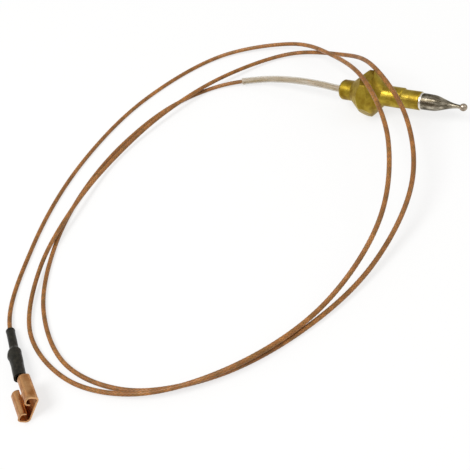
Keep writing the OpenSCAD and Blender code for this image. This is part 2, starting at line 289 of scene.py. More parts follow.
@dataclass(frozen=True)
class Metal:
    """A bare metal: its two tones, how it was worked, and how far it has dulled."""

    name: str
    tone: Colour
    dull_tone: Colour
    edge_tone: Colour
    roughness: float
    grain: Grain = Grain.CAST
    patch_size: float = 0.0022
    grain_depth: float = 0.000006
    streaks: float = 0.0

    def make(self) -> bpy.types.Material:
        """Builds the material.

        Returns:
            A material with patches of dull metal, worn edges and working marks.
        """
        shader = Shader(self.name)
        per_metre = 1 / self.patch_size
        patches = shader.spread(shader.noise((per_metre,) * 3, 5, 0.62), 0.36, 0.66)
        specks = shader.spread(shader.noise((9000,) * 3, 2), 0.56, 0.74)
        wear = shader.spread(shader.attribute("edge"), 0.15, 0.8)
        colour = shader.mix(patches, self.dull_tone, self.tone)
        colour = shader.mix(shader.math("MULTIPLY", specks, 0.35), colour, self.dull_tone)
        colour = shader.mix(shader.math("MULTIPLY", wear, 0.55), colour, self.edge_tone)
        lines = self.lines(shader)
        if self.streaks:
            stain = shader.spread(shader.noise((130, 1500, 1500), 4), 0.44, 0.58)
            colour = shader.mix(shader.math("MULTIPLY", stain, self.streaks), colour,
                                self.dull_tone)
        rough = shader.spread(patches, 0, 1, self.roughness + 0.12, self.roughness - 0.06)
        rough = shader.math("ADD", rough, shader.spread(lines, 0.3, 0.7, -0.05, 0.05))
        normal = shader.bump(shader.noise((2600,) * 3, 4), 0.00001, 0.35)
        normal = shader.bump(lines, self.grain_depth, 0.6, normal)
        shader.principled(Base_Color=colour, Metallic=1.0, Roughness=rough, Normal=normal)
        return shader.material

    def lines(self, shader: Shader) -> bpy.types.NodeSocket:
        """The pattern of working marks.

        Args:
            shader: The material under construction.

        Returns:
            The pattern's output, from 0 to 1.
        """
        if self.grain is Grain.CAST:
            return shader.noise((7000,) * 3)
        drawn = shader.noise((220, 9000, 9000))
        if self.grain is Grain.DRAWN:
            return drawn
        turned = shader.noise((14000, 260, 260))
        choice = shader.node("ShaderNodeMix", data_type="FLOAT")
        shader.feed(choice.inputs["Factor"], shader.attribute("flat"))
        shader.link(turned, choice.inputs["A"])
        shader.link(drawn, choice.inputs["B"])
        return choice.outputs["Result"]


@dataclass(frozen=True)
class Ceramic:
    """Dry insulation inside the head: woven or moulded, pale and matt."""

    name: str
    tone: Colour
    stain: Colour

    def make(self) -> bpy.types.Material:
        """Builds the material.

        Returns:
            A matt, faintly stained material with fine pits.
        """
        shader = Shader(self.name)
        stains = shader.spread(shader.noise((700,) * 3, 4), 0.42, 0.7)
        weave = shader.noise((5200,) * 3, 2)
        shader.principled(Base_Color=shader.mix(stains, self.tone, self.stain), Roughness=0.85,
                          Normal=shader.bump(weave, 0.00004, 0.6))
        return shader.material


@dataclass(frozen=True)
class Braid:
    """Varnished fine braid: two sets of threads that cross, brown-copper and mottled, with painted
    shade in the grooves between the threads.
    """

    name: str
    threads: int
    crossings: float
    light: Colour = (0.46, 0.185, 0.040)
    mid: Colour = (0.275, 0.102, 0.018)
    olive: Colour = (0.155, 0.088, 0.012)
    # gap is painted shade: the dark colour that the grooves between the threads are mixed towards.
    gap: Colour = (0.095, 0.034, 0.009)

    def make(self) -> bpy.types.Material:
        """Builds the material.

        Returns:
            A material whose threads run along the lead's own map.
        """
        shader = Shader(self.name)
        left, right = (self.band(shader, sign) for sign in (1, -1))
        weave = shader.math("MAXIMUM", left, right)
        fine = shader.noise((self.threads * 9, self.crossings * 9, 1), 2, surface_map=True)
        patches = shader.spread(shader.noise((330,) * 3, 4, 0.6), 0.38, 0.64)
        spots = shader.spread(shader.noise((900,) * 3, 3, 0.6), 0.46, 0.60)
        colour = shader.mix(patches, self.mid, self.light)
        colour = shader.mix(shader.math("MULTIPLY", spots, 0.55), colour, self.olive)
        # Painted shade: where the weave is low, between the threads, the colour is darkened towards
        # gap.
        groove_shade = shader.spread(weave, 0.45, 0.95, 0.5, 0.0)
        colour = shader.mix(groove_shade, colour, self.gap)
        normal = shader.bump(weave, 0.00003, 0.7)
        normal = shader.bump(fine, 0.00002, 0.5, normal)
        rough = shader.spread(patches, 0, 1, 0.52, 0.36)
        shader.principled(Base_Color=colour, Roughness=rough, Normal=normal, Coat_Weight=0.1,
                          Coat_Roughness=0.3, Specular_IOR_Level=0.4)
        return shader.material

    def band(self, shader: Shader, sign: int) -> bpy.types.NodeSocket:
        """One set of parallel threads round the lead.

        Args:
            shader: The material under construction.
            sign: 1 or -1, for the way that they wind.

        Returns:
            The threads' height, from 0 to 1.
        """
        split = shader.node("ShaderNodeSeparateXYZ")
        shader.link(shader.placed((self.threads, sign * self.crossings, 1), True),
                    split.inputs["Vector"])
        turns = shader.math("ADD", split.outputs["X"], split.outputs["Y"])
        wave = shader.math("COSINE", shader.math("MULTIPLY", turns, FULL_TURN))
        return shader.spread(wave, -1, 1)


@dataclass(frozen=True)
class ClearSleeve:
    """The pale sleeve at the neck: glass-fibre tube soaked in resin, half see-through."""

    name: str
    tone: Colour = (0.46, 0.37, 0.215)
    milky: Colour = (0.74, 0.68, 0.58)
    opacity: float = 0.42

    def make(self) -> bpy.types.Material:
        """Builds the material.

        Returns:
            A glossy, half clear material with faint long fibres.
        """
        shader = Shader(self.name)
        fibres = shader.noise((24, 9, 1), 4, surface_map=True)
        clouds = shader.spread(shader.noise((5, 4, 1), 3, surface_map=True), 0.3, 0.75)
        tone = shader.mix(clouds, self.tone, self.milky)
        cover = shader.spread(fibres, 0.3, 0.7, self.opacity - 0.12, self.opacity + 0.14)
        shader.principled(Base_Color=tone, Roughness=0.34, Alpha=cover, Coat_Weight=0.3,
                          Coat_Roughness=0.2, Normal=shader.bump(fibres, 0.00003, 0.6))
        return shader.material


@dataclass(frozen=True)
class ShrunkTube:
    """Black heat-shrink tube, satin, with fine drawn wrinkles."""

    name: str
    tone: Colour = (0.006, 0.0055, 0.003)
    scuff: Colour = (0.030, 0.027, 0.018)

    def make(self) -> bpy.types.Material:
        """Builds the material.

        Returns:
            A near-black satin material with scuffs and long wrinkles.
        """
        shader = Shader(self.name)
        scuffs = shader.spread(shader.noise((800,) * 3, 6, 0.65), 0.42, 0.72)
        wrinkles = shader.noise((11, 5, 1), 3, surface_map=True)
        pores = shader.noise((6500,) * 3, 2)
        normal = shader.bump(wrinkles, 0.00007, 0.6)
        normal = shader.bump(pores, 0.00001, 0.5, normal)
        shader.principled(Base_Color=shader.mix(scuffs, self.tone, self.scuff),
                          Roughness=shader.spread(scuffs, 0, 1, 0.36, 0.6), Normal=normal,
                          Specular_IOR_Level=0.25)
        return shader.material


# ---- shaping ----


def finished_piece(name: str, bm: bmesh.types.BMesh, finish: bpy.types.Material,
                   sharp_degrees: float, slot: Slot, node: str = "") -> bpy.types.Object:
    """Turns a finished bmesh into a smooth-shaded piece.

    Args:
        name: The piece's name.
        bm: Its shape, which is freed.
        finish: Its material.
        sharp_degrees: The angle from which an edge stays sharp.
        slot: Not used.
        node: The CAD piece that it replaces, if there is one.

    Returns:
        The new object, at the origin, on the part's only body.
    """
    mark_edges(bm)
    piece = placed_object(name, bm, finish)
    piece.data.shade_smooth()
    piece.data.set_sharp_from_angle(angle=math.radians(sharp_degrees))
    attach(piece, BODY)
    if node:
        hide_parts(node)
    return piece


def placed_object(name: str, bm: bmesh.types.BMesh,
                  finish: bpy.types.Material) -> bpy.types.Object:
    """Puts a shape in the scene.

    Args:
        name: The object's name.
        bm: Its shape, which is freed.
        finish: Its material.

    Returns:
        The new object, at the origin.
    """
    mesh = bpy.data.meshes.new(name)
    bm.to_mesh(mesh)
    bm.free()
    mesh.materials.append(finish)
    made = bpy.data.objects.new(name, mesh)
    bpy.context.scene.collection.objects.link(made)
    return made


def mark_edges(bm: bmesh.types.BMesh) -> None:
    """Writes how sharply the surface turns at each point, for the materials' worn edges.

    Args:
        bm: The shape, which gets the attribute called edge, from 0 to 1.
    """
    bm.normal_update()
    layer = bm.verts.layers.float.new("edge")
    for vert in bm.verts:
        turns = [e.calc_face_angle(0.0) for e in vert.link_edges]
        vert[layer] = min(1.0, max(turns, default=0.0) / FULLY_WORN_TURN)


def close_up(bm: bmesh.types.BMesh, gap: float = 1e-7) -> None:
    """Merges doubled points and turns every face outwards."""
    bmesh.ops.remove_doubles(bm, verts=bm.verts[:], dist=gap)
    bmesh.ops.recalc_face_normals(bm, faces=bm.faces[:])


def cap_ends(bm: bmesh.types.BMesh) -> None:
    """Closes a tube's two open ends and turns every face outwards."""
    bmesh.ops.holes_fill(bm, edges=[e for e in bm.edges if e.is_boundary], sides=0)
    bmesh.ops.recalc_face_normals(bm, faces=bm.faces[:])


def thicken(bm: bmesh.types.BMesh, wall: float) -> None:
    """Gives a sheet or an open tube a wall, inwards, and turns every face outwards."""
    bmesh.ops.solidify(bm, geom=bm.faces[:], thickness=wall)
    bmesh.ops.recalc_face_normals(bm, faces=bm.faces[:])


def soften(bm: bmesh.types.BMesh, width: float, degrees: float = 28.0,
           wanted: Callable[[bmesh.types.BMEdge], bool] = lambda edge: True) -> None:
    """Rounds the sharp edges a little, as tumbling and handling do.

    Args:
        bm: The shape.
        width: The bevel's width.
        degrees: The face angle from which an edge is rounded.
        wanted: A further test of each edge.
    """
    bm.normal_update()
    sharp = [e for e in bm.edges
             if e.is_manifold and e.calc_face_angle(0.0) > math.radians(degrees) and wanted(e)]
    bmesh.ops.bevel(bm, geom=sharp, offset=width, offset_type="OFFSET", segments=2,
                    profile=0.5, affect="EDGES", clamp_overlap=True, material=-1)


def formed_sheet(bm: bmesh.types.BMesh, across: int, along: int, place: Place) -> None:
    """Forms a flat blank: each of its points goes where the given rule puts it.

    Args:
        bm: The shape that the sheet is added to, which has a surface map.
        across: Faces across the blank.
        along: Faces along the blank.
        place: Gives the point for shares from 0 to 1 across and along.
    """
    half = 0.5
    blank = bmesh.ops.create_grid(bm, x_segments=across, y_segments=along, size=half,
                                  calc_uvs=True)
    for vert in blank["verts"]:
        vert.co = place(vert.co.x + half, vert.co.y + half)


def smooth(low: float, high: float, value: float) -> float:
    """Eases from 0 at low to 1 at high."""
    share = min(1.0, max(0.0, (value - low) / (high - low)))
    return share * share * (3 - 2 * share)


@dataclass
class Path:
    """A line in space with an unturning frame at each of its even steps."""

    points: list[Vector]
    ways: list[Vector] = field(init=False)
    sides: list[Vector] = field(init=False)
    length: float = field(init=False)

    def __post_init__(self) -> None:
        """Works out the directions and carries a side vector along without twist."""
        last = len(self.points) - 1
        self.ways = [(self.points[min(i + 1, last)] - self.points[max(i - 1, 0)]).normalized()
                     for i in range(last + 1)]
        self.sides = [self.ways[0].cross(Vector((0, 0, 1))).normalized()]
        for way in self.ways[1:]:
            side = self.sides[-1]
            self.sides.append((side - way * side.dot(way)).normalized())
        self.length = sum((b - a).length for a, b in zip(self.points, self.points[1:]))

    def at(self, share: float) -> tuple[Vector, Vector, Vector, Vector]:
        """The frame at a share of the path.

        Args:
            share: From 0 at the start to 1 at the end.

        Returns:
            The point, the direction, the side and the up vector there.
        """
        reach = min(max(share, 0.0), 1.0) * (len(self.points) - 1)
        i = min(int(reach), len(self.points) - 2)
        t = reach - i
        way = self.ways[i].lerp(self.ways[i + 1], t).normalized()
        side = self.sides[i].lerp(self.sides[i + 1], t)
        side = (side - way * side.dot(way)).normalized()
        return self.points[i].lerp(self.points[i + 1], t), way, side, side.cross(way)


def tube(path: Path, sides: int, rings: int,
         radius: Callable[[float, float], float]) -> bmesh.types.BMesh:
    """Rolls a flat blank round a path, with its seam closed and its ends open.

    Args:
        path: The centreline.
        sides: Faces round the tube.
        rings: Faces along the tube.
        radius: Gives the radius for shares from 0 to 1 round and along.

    Returns:
        The open tube, with a surface map that runs round and along it.
    """
    bm = bmesh.new()
    bm.loops.layers.uv.new("UVMap")

    def place(around: float, along: float) -> Vector:
        """Rolls a point of the blank round the path.

        Args:
            around: The share round the tube.
            along: The share along the tube.

        Returns:
            Where it goes.
        """
        point, _, side, up = path.at(along)
        angle = FULL_TURN * around
        return point + radius(around % 1.0, along) * (math.cos(angle) * side
                                                      + math.sin(angle) * up)

    formed_sheet(bm, sides, rings, place)
    close_up(bm, 2e-6)
    return bm


# ---- the lead ----


@dataclass
class LeadRoute:
    """The lead's centreline: a smooth line through chosen points, straight at both ends."""

    points: tuple[Spot, ...] = (
        (-0.0165, 0, 0.005), (-0.0225, 0.0005, 0.005), (-0.0332, 0.0015, 0.004),
        (-0.0452, 0.0019, 0.0018), (-0.0568, -0.0019, 0.0008), (-0.0667, -0.0117, 0.0006),
        (-0.0725, -0.028, 0.0006), (-0.073, -0.0461, 0.0006), (-0.0671, -0.0665, 0.0006),
        (-0.0558, -0.0827, 0.0006), (-0.0395, -0.092, 0.0006), (-0.0207, -0.0912, 0.0006),
        (-0.0044, -0.0811, 0.0006), (0.0079, -0.0644, 0.0008), (0.0146, -0.0456, 0.002),
        (0.0151, -0.026, 0.0064), (0.0064, -0.0095, 0.0092), (-0.0056, 0.0013, 0.0114),
        (-0.0252, 0.0134, 0.004), (-0.0425, 0.0141, 0.0011), (-0.0569, 0.0004, 0.002),
        (-0.0662, -0.0167, 0.002), (-0.0711, -0.0352, 0.0012), (-0.0698, -0.0544, 0.0022),
        (-0.0656, -0.073, 0.0015), (-0.0545, -0.089, 0.0007), (-0.0365, -0.0949, 0.0006),
        (-0.0182, -0.0917, 0.0016), (-0.0019, -0.0794, 0.0022), (0.01, -0.0577, 0.0024),
        (0.0133, -0.037, 0.0073), (0.0071, -0.0192, 0.0108), (-0.0061, -0.0037, 0.012),
        (-0.0233, 0.0088, 0.0076), (-0.0431, 0.017, 0.0023), (-0.0641, 0.0101, 0.0008),
        (-0.0782, -0.0122, 0.0006), (-0.0811, -0.0381, 0.0006), (-0.0741, -0.068, 0.0006),
        (-0.06, -0.0906, 0.0011),
    )
    tail_heading: float = math.radians(-33)
    tail_pitch: float = math.radians(5.6)
    steps_per_point: int = 24

    def __post_init__(self) -> None:
        """Finds the direction at every point: the ends' are given, the rest lean to both sides."""
        self.stops = [Vector(p) for p in self.points]
        level = math.cos(self.tail_pitch)
        self.tail_way = Vector((level * math.cos(self.tail_heading),
                                level * math.sin(self.tail_heading),
                                math.sin(self.tail_pitch)))
        self.exit_way = Vector((-1, 0, 0))
        self.stop_ways = [self.exit_way]
        for before, here, after in zip(self.stops, self.stops[1:], self.stops[2:]):
            back, on = (here - before).length, (after - here).length
            self.stop_ways.append(((here - before) / back * on + (after - here) / on * back)
                                  / (back + on))
        self.stop_ways.append(self.tail_way)

    def point(self, reach: float) -> Vector:
        """A point of the curve.

        Args:
            reach: How many stops along it is, with its fraction.

        Returns:
            The point.
        """
        i = min(int(reach), len(self.stops) - 2)
        u = reach - i
        start, end = self.stops[i], self.stops[i + 1]
        gap = (end - start).length
        return ((2 * u**3 - 3 * u**2 + 1) * start + (u**3 - 2 * u**2 + u) * gap * self.stop_ways[i]
                + (3 * u**2 - 2 * u**3) * end + (u**3 - u**2) * gap * self.stop_ways[i + 1])

    def path(self, last_stop: float, inside: float, beyond: float, spacing: float) -> Path:
        """A stretch of the lead, from inside the neck, in even steps.

        Args:
            last_stop: The stop that it ends at, with its fraction.
            inside: The straight run inside the neck before the first stop.
            beyond: The straight run after the last stop.
            spacing: The length of one step.

        Returns:
            The path.
        """
        count = max(2, round(last_stop * self.steps_per_point))
        line = [self.stops[0] - self.exit_way * inside]
        line += [self.point(last_stop * k / count) for k in range(count + 1)]
        if beyond:
            line.append(line[-1] + self.tail_way * beyond)
        return Path(even_steps(line, spacing))


def even_steps(line: Sequence[Vector], spacing: float) -> list[Vector]:
    """Walks along a line of points in equal steps.

    Args:
        line: The points.
        spacing: About how long a step is.

    Returns:
        Evenly spaced points from the line's start to its end.
    """
    total = sum((b - a).length for a, b in zip(line, line[1:]))
    step = total / max(1, round(total / spacing))
    found, carried = [line[0].copy()], 0.0
    for a, b in zip(line, line[1:]):
        gap = (b - a).length
        while gap > 0 and carried + gap >= step * len(found) - 1e-9:
            found.append(a.lerp(b, min(1.0, (step * len(found) - carried) / gap)))
        carried += gap
    if (found[-1] - line[-1]).length > step / 2:
        found.append(line[-1].copy())
    return found


@dataclass
class Lead:
    """The braided lead, the pale sleeve at its neck and the fibres at that sleeve's cut end."""

    route: LeadRoute
    diameter: float = 0.0011
    length: float = 0.77
    inside_head: float = 0.008
    inside_crimp: float = 0.0108
    core_diameter: float = 0.00056
    core_gap: float = 0.0002
    core_beyond: float = 0.0152
    ring_gap: float = 0.00023
    sides: int = 24
    threads: int = 6
    crossing_gap: float = 0.00095
    relief: float = 0.00004
    line_step: int = 8
    core_sides: int = 8
    core_step: float = 0.0004
    sleeve_diameter: float = 0.0018
    sleeve_wall: float = 0.00024
    sleeve_inside: float = 0.004
    sleeve_stops: float = 3.38
    sleeve_sides: int = 24
    sleeve_step: float = 0.0003
    wave_depth: float = 0.006
    ripple_depth: float = 0.004
    flare_length: float = 0.0014
    flare: float = 0.07
    cut_depth: float = 0.0001
    fibre_count: int = 46
    fibre_foot: float = 0.0002

    def braid(self) -> bpy.types.Object:
        """Returns:
            The lead.
        """
        path = self.route.path(len(self.route.stops) - 1, self.inside_head, self.inside_crimp,
                               self.ring_gap)
        crossings = round(path.length / self.crossing_gap)

        def radius(around: float, along: float) -> float:
            """Lowers the surface between the two sets of threads.

            Args:
                around: The share round the tube.
                along: The share along the tube.

            Returns:
                The radius there.
            """
            left = math.cos(FULL_TURN * (self.threads * around + crossings * along))
            right = math.cos(FULL_TURN * (self.threads * around - crossings * along))
            return self.diameter / 2 - self.relief * (0.5 - 0.5 * max(left, right))

        bm = tube(path, self.sides, len(path.points) - 1, radius)
        cap_ends(bm)
        finish = Braid("varnished_braid", self.threads, crossings).make()
        self.line = [tuple(p) for p in path.points[::self.line_step] + path.points[-1:]]
        return finished_piece("braided_lead", bm, finish, 80, Slot.BRAID, "lead_braid")

    def core(self) -> bpy.types.Object:
        """Builds the copper core, from the joint in the head to the terminal's second crimp.

        Returns:
            The core.
        """
        low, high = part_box("joint_crimp")
        inside = (low.x + high.x) / 2 - self.core_gap - self.route.stops[0].x
        path = self.route.path(len(self.route.stops) - 1, inside, self.core_beyond,
                               self.core_step)
        bm = tube(path, self.core_sides, len(path.points) - 1,
                  lambda around, along: self.core_diameter / 2)
        cap_ends(bm)
        finish = Metal("drawn_copper", (0.78, 0.38, 0.21), (0.50, 0.22, 0.12),
                       (0.90, 0.56, 0.38), 0.32).make()
        return finished_piece("copper_core", bm, finish, 60, Slot.CORE_COPPER, "lead_core")

    def declare(self) -> None:
        """Works out the lead's first stop and its line as plain points, and keeps neither.
        """
        tuple(self.route.stops[0])
        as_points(self.line)

    def pale_sleeve(self) -> bpy.types.Object:
        """Builds the half-clear sleeve, with its cut end a little flared and uneven.

        Returns:
            The sleeve.
        """
        path = self.route.path(self.sleeve_stops, self.sleeve_inside, 0, self.sleeve_step)
        outer = self.sleeve_diameter / 2
        dice = random.Random(7)
        sides = self.sleeve_sides
        rims = [dice.uniform(-1, 1) for _ in range(sides)]

        def radius(around: float, along: float) -> float:
            """Waves the sleeve a little and flares its cut end.

            Args:
                around: The share round the tube.
                along: The share along the tube.

            Returns:
                The radius there.
            """
            near_end = max(0.0, 1 - (1 - along) * path.length / self.flare_length)
            rim = rims[round(around * sides) % sides]
            flare = 1 + self.flare * near_end**2 * (1 + 0.7 * rim)
            waves = self.wave_depth * math.sin(FULL_TURN * 9 * along)
            ripples = self.ripple_depth * math.sin(31 * along)
            return outer * (flare + waves + ripples)

        bm = tube(path, sides, len(path.points) - 1, radius)
        end_way = path.ways[-1]
        for vert in bm.verts:
            if vert.is_boundary and (vert.co - path.points[-1]).length < 2 * outer:
                vert.co -= end_way * self.cut_depth * (1 + rims[vert.index % sides])
        thicken(bm, self.sleeve_wall)
        self.sleeve_end = path.at(1.0)
        return finished_piece("pale_sleeve", bm, ClearSleeve("resin_sleeve").make(), 35,
                              Slot.SLEEVE, "exit_sleeve")

    def frayed_fibres(self) -> bpy.types.Object:
        """Builds the loose glass fibres that stand out of the sleeve's cut end.

        Returns:
            The fibres, as one piece.
        """
        point, way, side, up = self.sleeve_end
        dice = random.Random(11)
        bm = bmesh.new()
        ring = self.sleeve_diameter / 2 - self.sleeve_wall / 2
        for _ in range(self.fibre_count):
            angle = dice.uniform(0, FULL_TURN)
            out = math.cos(angle) * side + math.sin(angle) * up
            lean = (way * dice.uniform(0.7, 1.0) + out * dice.uniform(-0.05, 0.55)
                    + out.cross(way) * dice.uniform(-0.4, 0.4)).normalized()
            reach = dice.uniform(0.0003, 0.0009)
            root = point + out * ring * dice.uniform(0.9, 1.05) - way * self.fibre_foot
            turn = Vector((0, 0, 1)).rotation_difference(lean).to_matrix().to_4x4()
            bmesh.ops.create_cone(bm, cap_ends=True, segments=5, radius1=0.000032,
                                  radius2=0.000012, depth=reach,
                                  matrix=Matrix.Translation(root + lean * reach / 2) @ turn)
        finish = Ceramic("glass_fibre", (0.78, 0.74, 0.68), (0.55, 0.47, 0.38)).make()
        return finished_piece("sleeve_fibres", bm, finish, 35, Slot.SLEEVE)


# ---- the head ----


@dataclass
class Head:
    """The brass head, the steel probe, the braze between them and the bead at the tip."""

    neck_radius: float = 0.0025
    neck_bevel: float = 0.0008
    neck_length: float = 0.0036
    hex_length: float = 0.0085
    rear_cone_run: float = 1.25
    barrel_radius: float = 0.0025
    barrel_length: float = 0.0051
    collar_radius: float = 0.0022
    edge_bevel: float = 0.00025
    rear_bore: float = 0.00095
    front_bore: float = 0.0015
    bore_step: float = 0.0084
    probe_radius: float = 0.00195
    nose_radius: float = 0.00045
    straight_share: float = 0.3
    spigot_radius: float = 0.00148
    spigot_wall: float = 0.00025
    spigot_length: float = 0.0038
    wire_bore: float = 0.00033
    bead_radius: float = 0.0009
    braze_width: float = 0.00042
    braze_overlap: float = 0.00002
    braze_creep: float = 0.00004
    brass_rounding: float = 0.00009
    probe_rounding: float = 0.00005
    wire_bore_share: float = 0.35
    waist_share: float = 0.95
    probe_rings: int = 36
    flute_depth: float = 0.022
    throat: float = 0.003
    steps: int = 96

    def __post_init__(self) -> None:
        """Reads the head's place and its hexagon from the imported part."""
        low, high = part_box("head_body")
        self.back = low.x
        self.axis_z = (low.z + high.z) / 2
        self.flat_reach = (high.z - low.z) / 2
        self.brass_end = high.x - low.x
        self.nose_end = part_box("probe_sheath")[1].x - low.x
        self.bead_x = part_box("hot_junction")[1].x - self.bead_radius

    def turned(self, outline: Sequence[tuple[float, float]]) -> bmesh.types.BMesh:
        """Turns a closed outline about the head's axis.

        Args:
            outline: Points of [station, radius], in order round the solid's section.

        Returns:
            The closed, outward-facing shape.
        """
        bm = bmesh.new()
        points = [bm.verts.new((self.back + s, r, self.axis_z)) for s, r in outline]
        lines = [bm.edges.new((a, b)) for a, b in zip(points, points[1:] + points[:1])]
        bmesh.ops.spin(bm, geom=points + lines, cent=(0, 0, self.axis_z), axis=(1, 0, 0),
                       dvec=(0, 0, 0), angle=FULL_TURN, steps=self.steps, use_merge=True,
                       use_normal_flip=False, use_duplicate=False)
        close_up(bm)
        return bm

    def from_axis(self, vert: bmesh.types.BMVert) -> Vector:
        """The way from the head's axis straight out to a point."""
        return Vector((0, vert.co.y, vert.co.z - self.axis_z))

    def brass(self) -> bpy.types.Object:
        """Builds the brass: neck, coned hexagon, barrel and collar, bored from both ends.

        Returns:
            The brass body.
        """
        corner = self.flat_reach / math.cos(math.radians(30))
        foot, hex_end = self.neck_length, self.neck_length + self.hex_length
        barrel_end = hex_end + self.barrel_length
        bm = self.turned([
            (0, self.rear_bore), (0, self.neck_radius - self.neck_bevel),
            (self.neck_bevel * 0.42, self.neck_radius - self.neck_bevel * 0.36),
            (self.neck_bevel, self.neck_radius), (foot, self.neck_radius),
            (foot + self.rear_cone_run * (corner - self.neck_radius), corner),
            (hex_end - corner + self.barrel_radius, corner), (hex_end, self.barrel_radius),
            (barrel_end - self.edge_bevel, self.barrel_radius),
            (barrel_end, self.barrel_radius - self.edge_bevel),
            (barrel_end, self.collar_radius),
            (self.brass_end - self.edge_bevel, self.collar_radius),
            (self.brass_end, self.collar_radius - self.edge_bevel),
            (self.brass_end, self.front_bore), (self.bore_step, self.front_bore),
            (self.bore_step, self.rear_bore),
        ])
        self.cut_flats(bm, corner, foot, hex_end)
        soften(bm, self.brass_rounding, wanted=self.outside)
        self.mark_flats(bm)
        finish = Metal("worked_brass", (0.47, 0.340, 0.034), (0.23, 0.130, 0.004),
                       (0.76, 0.62, 0.15), 0.40, Grain.TURNED).make()
        return finished_piece("brass_head", bm, finish, 30, Slot.BRASS, "head_body")

    def cut_flats(self, bm: bmesh.types.BMesh, corner: float, foot: float,
                  hex_end: float) -> None:
        """Brings the two crest rings in to the six flats, along the cones that they meet.

        Args:
            bm: The turned shape.
            corner: The hexagon's radius at its corners.
            foot: The station of the rear cone's foot.
            hex_end: The station of the front cone's foot.
        """
        middle = self.back + (foot + hex_end) / 2
        for vert in bm.verts:
            out = self.from_axis(vert)
            if out.length < corner - 1e-5:
                continue
            angle = math.degrees(math.atan2(out.z, out.y)) % 60 - 30
            reach = self.flat_reach / math.cos(math.radians(angle))
            if vert.co.x < middle:
                x = self.back + foot + self.rear_cone_run * (reach - self.neck_radius)
            else:
                x = self.back + hex_end - reach + self.barrel_radius
            vert.co = Vector((x, 0, self.axis_z)) + out.normalized() * reach

    def outside(self, edge: bmesh.types.BMEdge) -> bool:
        """Whether an edge is on the outside of the brass, where tools and hands reach."""
        return all(math.hypot(v.co.y, v.co.z - self.axis_z) > self.front_bore + 2e-4
                   for v in edge.verts)

    def mark_flats(self, bm: bmesh.types.BMesh) -> None:
        """Writes 1 on the hexagon's flats, whose lines run along the bar.

        Args:
            bm: The brass, which gets the face attribute called flat.
        """
        layer = bm.faces.layers.float.new("flat")
        for face in bm.faces:
            out = face.calc_center_median() - Vector((0, 0, self.axis_z))
            level = abs(face.normal.x) < 0.05 and math.hypot(out.y, out.z) > self.flat_reach * 0.99
            face[layer] = 1.0 if level else 0.0

    def probe_reach(self, share: float) -> float:
        """The probe's radius: nearly straight, then an easing taper.

        Args:
            share: From 0 at the brass to 1 at the nose.

        Returns:
            The radius.
        """
        waist = self.probe_radius * self.waist_share
        if share < self.straight_share:
            narrowing = (share / self.straight_share)**2
            return self.probe_radius - (self.probe_radius - waist) * narrowing
        eased = ((share - self.straight_share) / (1 - self.straight_share))**0.85
        return self.nose_radius + (waist - self.nose_radius) * (1 + math.cos(math.pi * eased)) / 2

    def probe(self) -> bpy.types.Object:
        """Builds the steel sheath, swaged to its nose, with the spigot inside the brass.

        Returns:
            The probe.
        """
        run = self.nose_end - self.brass_end
        inner = self.spigot_radius - self.spigot_wall
        spigot_back = self.brass_end - self.spigot_length
        outline = [(spigot_back, inner), (spigot_back, self.spigot_radius),
                   (self.brass_end, self.spigot_radius)]
        shares = [i / self.probe_rings for i in range(self.probe_rings + 1)]
        outline += [(self.brass_end + run * share, self.probe_reach(share)) for share in shares]
        outline += [(self.nose_end, self.wire_bore),
                    (self.nose_end - run * self.wire_bore_share, self.wire_bore),
                    (self.brass_end + self.throat, inner)]
        bm = self.turned(outline)
        for vert in bm.verts:
            share = (vert.co.x - self.back - self.brass_end) / run
            if share <= 0.02:
                continue
            out = self.from_axis(vert)
            angle = math.atan2(out.z, out.y)
            swell = self.flute_depth * math.sin(math.pi * min(1, share))
            vert.co += out * math.cos(6 * angle + 2 * share) * swell
        soften(bm, self.probe_rounding, 40)
        finish = Metal("dulled_steel", (0.58, 0.52, 0.41), (0.070, 0.055, 0.030),
                       (0.85, 0.83, 0.78), 0.27, Grain.DRAWN, 0.0016, streaks=0.8).make()
        return finished_piece("steel_probe", bm, finish, 40, Slot.PROBE_STEEL, "probe_sheath")

    def braze(self) -> bpy.types.Object:
        """Builds the bright fillet of braze round the probe's foot.

        Returns:
            The fillet.
        """
        lip = self.collar_radius - self.edge_bevel * 0.55
        inner = self.probe_radius - self.braze_overlap
        outline = [(self.brass_end - self.braze_overlap, inner)]
        for degrees in range(0, 91, 15):
            bend = math.radians(degrees)
            outline.append((self.brass_end + self.braze_width * math.sin(bend) * 0.98,
                            inner + (lip - inner) * max(0.0, math.cos(bend))**0.7
                            + self.braze_overlap / 2))
        bm = self.turned(outline)
        for vert in bm.verts:
            out = self.from_axis(vert)
            angle = math.atan2(out.z, out.y)
            creep = (math.sin(3 * angle + 0.6) + 0.6 * math.sin(7 * angle)) * self.braze_creep
            if vert.co.x > self.back + self.brass_end + self.braze_width * 0.3:
                vert.co.x += creep
        finish = Metal("bright_braze", (0.93, 0.91, 0.86), (0.80, 0.76, 0.68),
                       (0.97, 0.96, 0.94), 0.24).make()
        return finished_piece("braze_fillet", bm, finish, 60, Slot.BRAZE, "braze_ring")

    def bead(self) -> bpy.types.Object:
        """Builds the fused bead: a ball drawn back a little on to the nose.

        Returns:
            The bead.
        """
        draw_from, draw = -0.55, 0.25
        bm = bmesh.new()
        bmesh.ops.create_uvsphere(bm, u_segments=40, v_segments=28, radius=self.bead_radius)
        bmesh.ops.rotate(bm, verts=bm.verts[:], cent=(0, 0, 0),
                         matrix=Matrix.Rotation(math.radians(90), 3, "Y"))
        for vert in bm.verts:
            share = vert.co.x / self.bead_radius
            if share < draw_from:
                vert.co.x -= (draw_from - share) * self.bead_radius * draw
            dimple = 1 + 0.012 * math.sin(5 * vert.co.y / self.bead_radius + 1.3)
            vert.co.y *= dimple
            vert.co.z *= 2 - dimple
        bmesh.ops.translate(bm, verts=bm.verts[:], vec=(self.bead_x, 0, self.axis_z))
        close_up(bm)
        finish = Metal("fused_bead", (0.58, 0.49, 0.39), (0.20, 0.15, 0.10),
                       (0.85, 0.78, 0.70), 0.26, patch_size=0.0009).make()
        return finished_piece("tip_bead", bm, finish, 60, Slot.BEAD, "hot_junction")


# ---- the terminal's end ----


